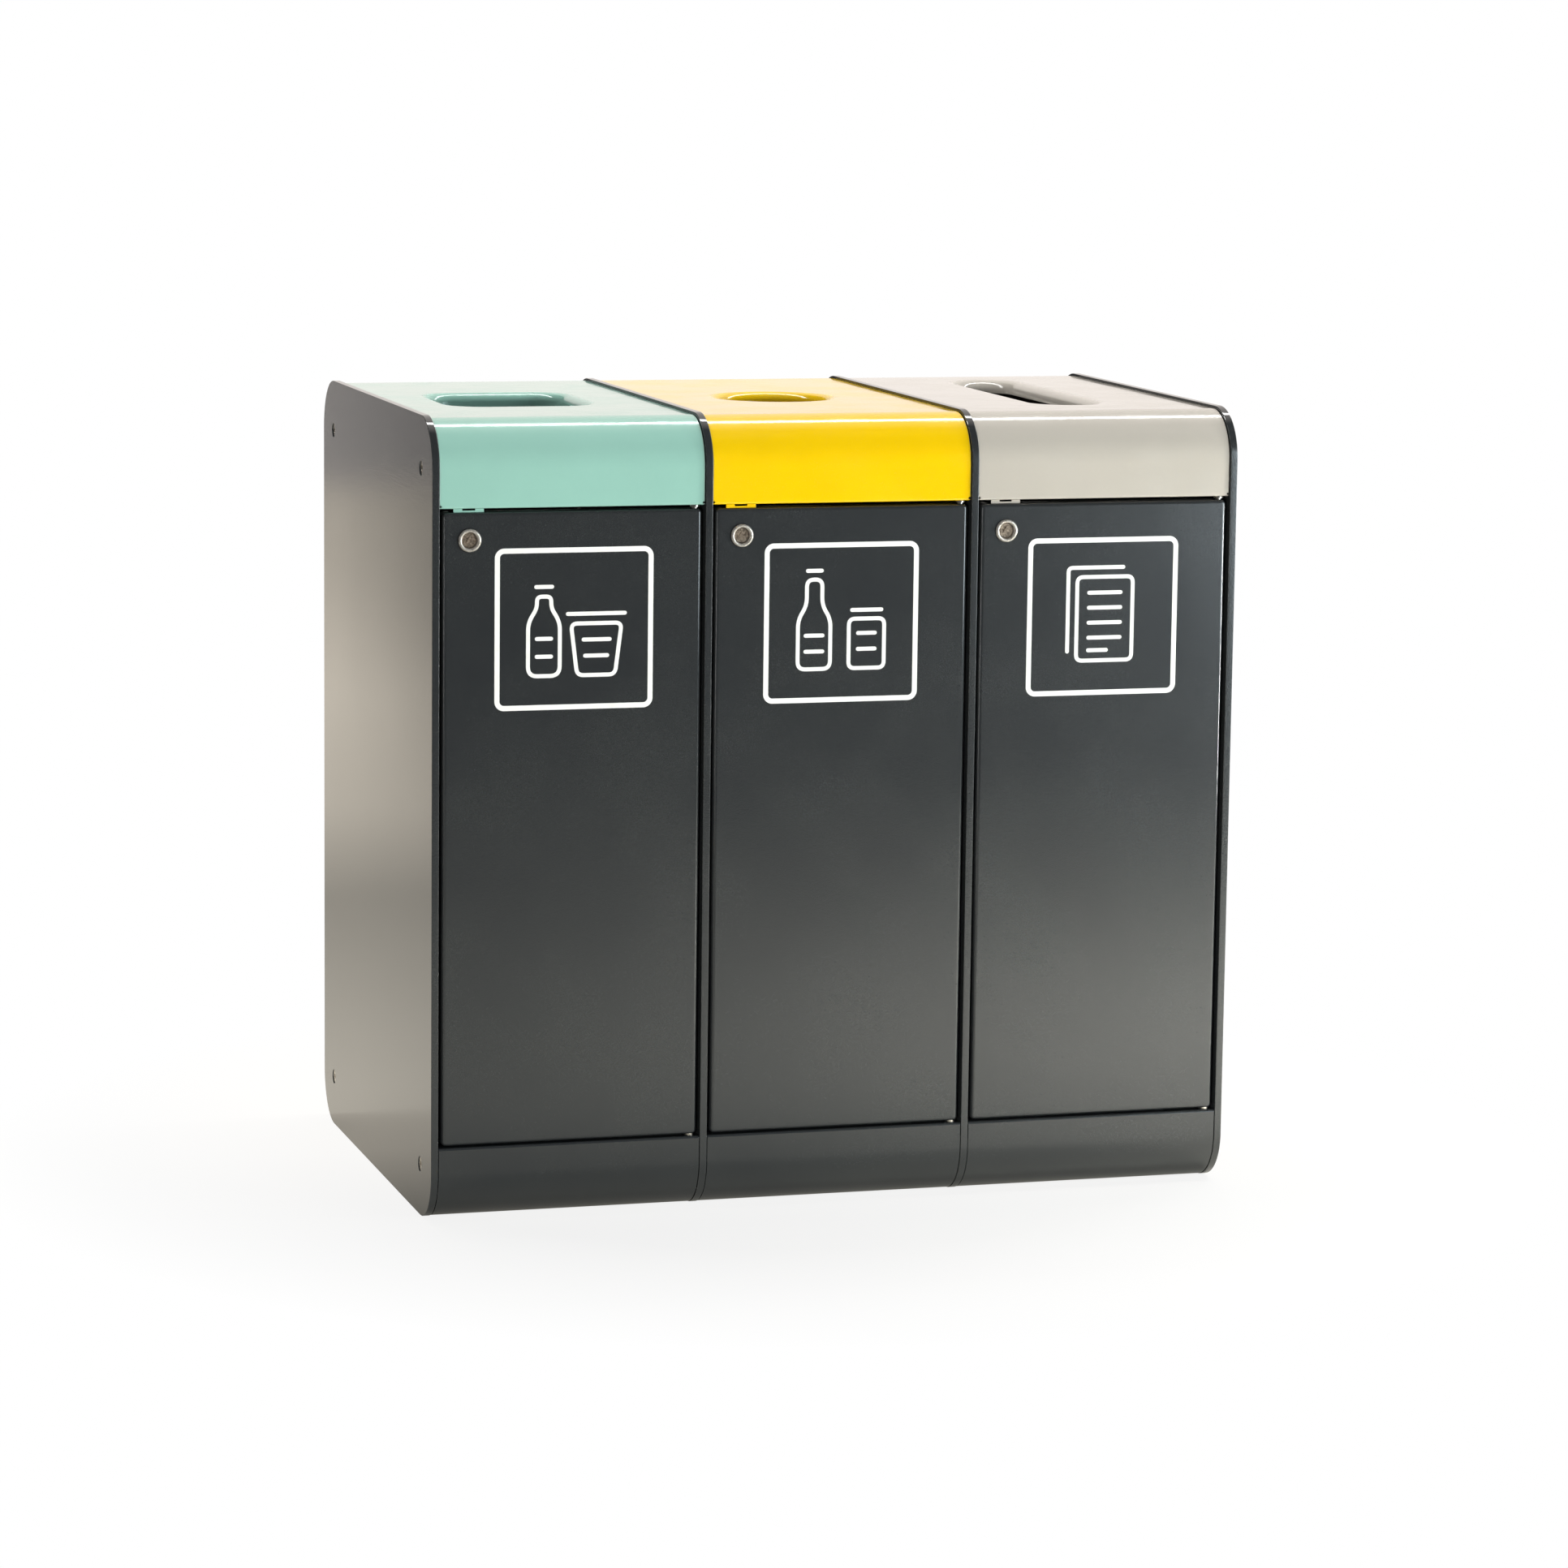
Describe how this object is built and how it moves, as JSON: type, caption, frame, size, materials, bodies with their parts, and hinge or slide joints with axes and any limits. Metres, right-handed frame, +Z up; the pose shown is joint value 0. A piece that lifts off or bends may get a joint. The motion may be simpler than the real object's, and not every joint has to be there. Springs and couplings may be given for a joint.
{
  "type": "recycling bin station",
  "caption": "Free-standing recycling station: rounded upright plates, coloured lids with drawn mouths, side-hinged lockable doors, curved kick panels and removable liners inside.",
  "frame": {"origin": "centre of the footprint, on the floor", "axes": "+X to the right seen from the doors, +Y to the back, +Z up"},
  "size_m": [1.041, 0.67, 1],
  "materials": {
    "dark_coat": "dark anthracite powder coat with fine texture",
    "mint_coat": "glossy mint powder coat",
    "yellow_coat": "glossy yellow powder coat",
    "warm_grey_coat": "glossy warm grey powder coat",
    "stainless": "polished stainless steel",
    "zinc": "galvanised sheet"
  },
  "bodies": {
    "frame": {"end_plate_left": "dark_coat", "divider_left": "dark_coat", "divider_right": "dark_coat", "end_plate_right": "dark_coat", "lid_left": "mint_coat", "base_tray_left": "dark_coat", "back_panel_left": "dark_coat", "strike_left": "mint_coat", "top_pivot_left": "stainless", "bottom_pivot_left": "stainless", "liner_left": "zinc", "lid_middle": "yellow_coat", "base_tray_middle": "dark_coat", "back_panel_middle": "dark_coat", "strike_middle": "yellow_coat", "top_pivot_middle": "stainless", "bottom_pivot_middle": "stainless", "liner_middle": "zinc", "lid_right": "warm_grey_coat", "base_tray_right": "dark_coat", "back_panel_right": "dark_coat", "strike_right": "warm_grey_coat", "top_pivot_right": "stainless", "bottom_pivot_right": "stainless", "liner_right": "zinc"},
    "door_left": {"door_left": "dark_coat", "lock_body_left": "stainless", "lock_nut_left": "stainless"},
    "lock_left": {"lock_spindle_left": "stainless", "lock_cam_left": "stainless"},
    "door_middle": {"door_middle": "dark_coat", "lock_body_middle": "stainless", "lock_nut_middle": "stainless"},
    "lock_middle": {"lock_spindle_middle": "stainless", "lock_cam_middle": "stainless"},
    "door_right": {"door_right": "dark_coat", "lock_body_right": "stainless", "lock_nut_right": "stainless"},
    "lock_right": {"lock_spindle_right": "stainless", "lock_cam_right": "stainless"}
  },
  "joints": [
    {"name": "door_left_hinge", "type": "hinge", "parent": "frame", "child": "door_left", "pos_m": [-0.1885, -0.324, 0.494], "axis": [0, 0, 1], "range_deg": [0, 100]},
    {"name": "lock_left_turn", "type": "hinge", "parent": "door_left", "child": "lock_left", "pos_m": [-0.4735, -0.332, 0.8515], "axis": [0, -1, 0], "range_deg": [0, 90]},
    {"name": "door_middle_hinge", "type": "hinge", "parent": "frame", "child": "door_middle", "pos_m": [0.1555, -0.324, 0.494], "axis": [0, 0, 1], "range_deg": [0, 100]},
    {"name": "lock_middle_turn", "type": "hinge", "parent": "door_middle", "child": "lock_middle", "pos_m": [-0.1295, -0.332, 0.8515], "axis": [0, -1, 0], "range_deg": [0, 90]},
    {"name": "door_right_hinge", "type": "hinge", "parent": "frame", "child": "door_right", "pos_m": [0.4995, -0.324, 0.494], "axis": [0, 0, 1], "range_deg": [0, 100]},
    {"name": "lock_right_turn", "type": "hinge", "parent": "door_right", "child": "lock_right", "pos_m": [0.2145, -0.332, 0.8515], "axis": [0, -1, 0], "range_deg": [0, 90]}
  ]
}
